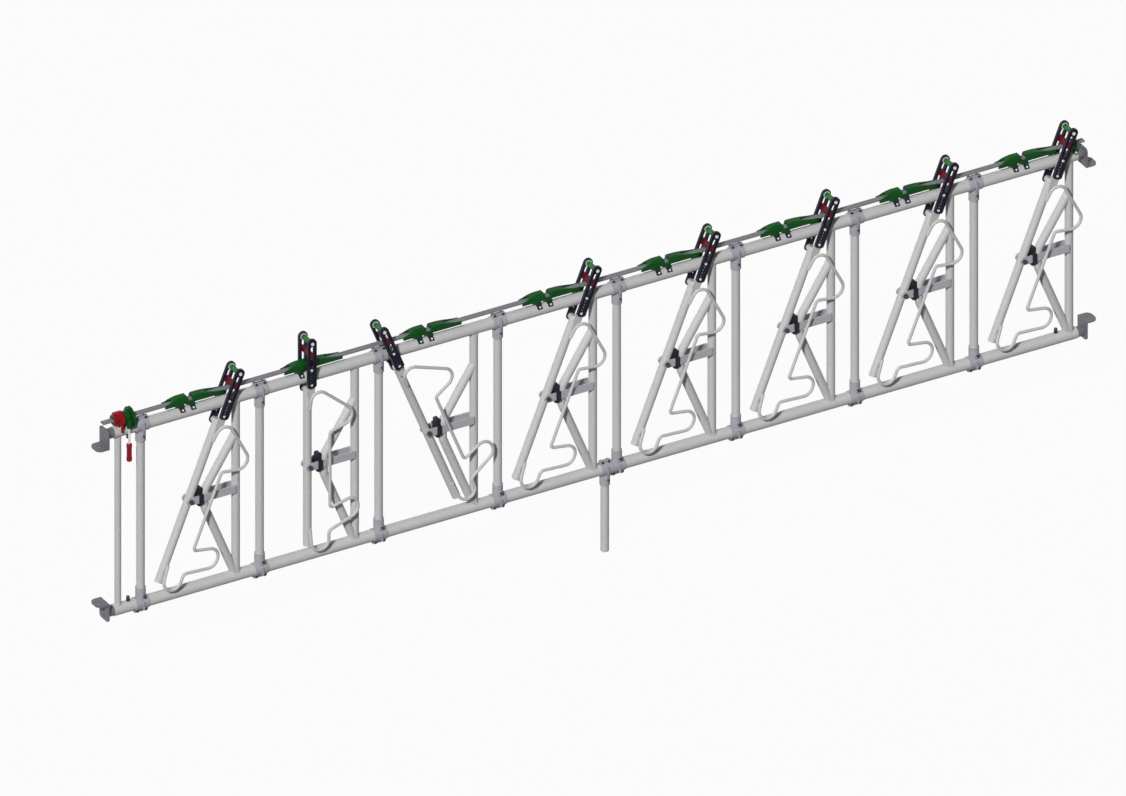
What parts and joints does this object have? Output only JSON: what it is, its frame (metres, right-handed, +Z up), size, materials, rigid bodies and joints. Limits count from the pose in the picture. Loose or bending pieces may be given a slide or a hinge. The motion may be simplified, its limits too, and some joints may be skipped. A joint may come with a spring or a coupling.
{
  "type": "cattle headlock",
  "caption": "Self-locking feed-front panel for cattle: pivoting stanchions with guard rods between two tube rails, a turning control bar with a hand lever, and telescopic end brackets.",
  "frame": {"origin": "on the floor, at the middle of the support leg's foot; the rails' axes lie in the plane Y = 0", "axes": "+X along the rails, away from the end with the hand lever; -Y towards the side with the guard rods; +Z up"},
  "size_m": [5.596, 0.1118, 1.6841],
  "materials": {
    "galvanised": "satin",
    "plate": "satin",
    "casting": "satin",
    "fastener": "satin",
    "buffer_rubber": "matte",
    "black_plastic": "satin",
    "green_plastic": "satin",
    "red_plastic": "satin"
  },
  "bodies": {
    "panel": {"top_rail": "galvanised", "bottom_rail": "galvanised", "end_post": "galvanised", "bay_posts": "galvanised", "bay_struts": "galvanised", "pivot_bars": "plate", "pivot_bolts": "fastener", "buffers": "buffer_rubber", "dividers": "galvanised", "tee_clamps": "casting", "clamp_bolts": "fastener", "support_leg": "galvanised", "foot_cap": "galvanised", "set_bolts": "fastener", "lock_housings": "green_plastic", "housing_screws": "fastener", "index_plate": "green_plastic", "end_bearing": "green_plastic"},
    "control": {"control_bar": "plate", "bar_bushes": "black_plastic", "lever_hub": "green_plastic", "lever_rod": "fastener", "lever_grip": "red_plastic"},
    "selector": {"selector": "red_plastic"},
    "telescope_top_left": {"end_top_left": "plate"},
    "telescope_top_right": {"end_top_right": "plate"},
    "telescope_bottom_left": {"end_bottom_left": "plate"},
    "telescope_bottom_right": {"end_bottom_right": "plate"},
    "place_1": {"stanchion_1": "galvanised", "fork_1": "black_plastic", "spool_1": "green_plastic"},
    "latch_1": {"latch_1": "red_plastic"},
    "place_2": {"stanchion_2": "galvanised", "fork_2": "black_plastic", "spool_2": "green_plastic"},
    "latch_2": {"latch_2": "red_plastic"},
    "place_3": {"stanchion_3": "galvanised", "fork_3": "black_plastic", "spool_3": "green_plastic"},
    "latch_3": {"latch_3": "red_plastic"},
    "place_4": {"stanchion_4": "galvanised", "fork_4": "black_plastic", "spool_4": "green_plastic"},
    "latch_4": {"latch_4": "red_plastic"},
    "place_5": {"stanchion_5": "galvanised", "fork_5": "black_plastic", "spool_5": "green_plastic"},
    "latch_5": {"latch_5": "red_plastic"},
    "place_6": {"stanchion_6": "galvanised", "fork_6": "black_plastic", "spool_6": "green_plastic"},
    "latch_6": {"latch_6": "red_plastic"},
    "place_7": {"stanchion_7": "galvanised", "fork_7": "black_plastic", "spool_7": "green_plastic"},
    "latch_7": {"latch_7": "red_plastic"},
    "place_8": {"stanchion_8": "galvanised", "fork_8": "black_plastic", "spool_8": "green_plastic"},
    "latch_8": {"latch_8": "red_plastic"}
  },
  "joints": [
    {"name": "bar_turn", "type": "hinge", "parent": "panel", "child": "control", "pos_m": [0, 0, 1.52315], "axis": [-1, 0, 0], "range_deg": [0, 90]},
    {"name": "selector_turn", "type": "hinge", "parent": "panel", "child": "selector", "pos_m": [-2.721, 0, 1.52315], "axis": [-1, 0, 0], "range_deg": [0, 90]},
    {"name": "extend_top_left", "type": "slide", "parent": "panel", "child": "telescope_top_left", "axis": [-1, 0, 0], "range_m": [-0.03, 0.15]},
    {"name": "extend_top_right", "type": "slide", "parent": "panel", "child": "telescope_top_right", "axis": [1, 0, 0], "range_m": [-0.03, 0.15]},
    {"name": "extend_bottom_left", "type": "slide", "parent": "panel", "child": "telescope_bottom_left", "axis": [-1, 0, 0], "range_m": [-0.03, 0.15]},
    {"name": "extend_bottom_right", "type": "slide", "parent": "panel", "child": "telescope_bottom_right", "axis": [1, 0, 0], "range_m": [-0.03, 0.15]},
    {"name": "swing_1", "type": "hinge", "parent": "panel", "child": "place_1", "pos_m": [-2.33, 0, 0.957], "axis": [0, 1, 0], "range_deg": [-44, 0]},
    {"name": "latch_lift_1", "type": "slide", "parent": "place_1", "child": "latch_1", "axis": [0.3746, 0, 0.9272], "range_m": [0, 0.023]},
    {"name": "swing_2", "type": "hinge", "parent": "panel", "child": "place_2", "pos_m": [-1.664, 0, 0.957], "axis": [0, 1, 0], "range_deg": [-22, 22]},
    {"name": "latch_lift_2", "type": "slide", "parent": "place_2", "child": "latch_2", "axis": [0, 0, 1], "range_m": [0, 0.023]},
    {"name": "swing_3", "type": "hinge", "parent": "panel", "child": "place_3", "pos_m": [-0.998, 0, 0.957], "axis": [0, 1, 0], "range_deg": [0, 44]},
    {"name": "latch_lift_3", "type": "slide", "parent": "place_3", "child": "latch_3", "axis": [-0.3746, 0, 0.9272], "range_m": [0, 0.023]},
    {"name": "swing_4", "type": "hinge", "parent": "panel", "child": "place_4", "pos_m": [-0.332, 0, 0.957], "axis": [0, 1, 0], "range_deg": [-44, 0]},
    {"name": "latch_lift_4", "type": "slide", "parent": "place_4", "child": "latch_4", "axis": [0.3746, 0, 0.9272], "range_m": [0, 0.023]},
    {"name": "swing_5", "type": "hinge", "parent": "panel", "child": "place_5", "pos_m": [0.334, 0, 0.957], "axis": [0, 1, 0], "range_deg": [-44, 0]},
    {"name": "latch_lift_5", "type": "slide", "parent": "place_5", "child": "latch_5", "axis": [0.3746, 0, 0.9272], "range_m": [0, 0.023]},
    {"name": "swing_6", "type": "hinge", "parent": "panel", "child": "place_6", "pos_m": [1, 0, 0.957], "axis": [0, 1, 0], "range_deg": [-44, 0]},
    {"name": "latch_lift_6", "type": "slide", "parent": "place_6", "child": "latch_6", "axis": [0.3746, 0, 0.9272], "range_m": [0, 0.023]},
    {"name": "swing_7", "type": "hinge", "parent": "panel", "child": "place_7", "pos_m": [1.666, 0, 0.957], "axis": [0, 1, 0], "range_deg": [-44, 0]},
    {"name": "latch_lift_7", "type": "slide", "parent": "place_7", "child": "latch_7", "axis": [0.3746, 0, 0.9272], "range_m": [0, 0.023]},
    {"name": "swing_8", "type": "hinge", "parent": "panel", "child": "place_8", "pos_m": [2.332, 0, 0.957], "axis": [0, 1, 0], "range_deg": [-44, 0]},
    {"name": "latch_lift_8", "type": "slide", "parent": "place_8", "child": "latch_8", "axis": [0.3746, 0, 0.9272], "range_m": [0, 0.023]}
  ],
  "couplings": [
    {"joint": "latch_lift_1", "follows": "bar_turn", "m_per_rad": 0.0145},
    {"joint": "latch_lift_2", "follows": "bar_turn", "m_per_rad": 0.0145},
    {"joint": "latch_lift_3", "follows": "bar_turn", "m_per_rad": 0.0145},
    {"joint": "latch_lift_4", "follows": "bar_turn", "m_per_rad": 0.0145},
    {"joint": "latch_lift_5", "follows": "bar_turn", "m_per_rad": 0.0145},
    {"joint": "latch_lift_6", "follows": "bar_turn", "m_per_rad": 0.0145},
    {"joint": "latch_lift_7", "follows": "bar_turn", "m_per_rad": 0.0145},
    {"joint": "latch_lift_8", "follows": "bar_turn", "m_per_rad": 0.0145}
  ]
}
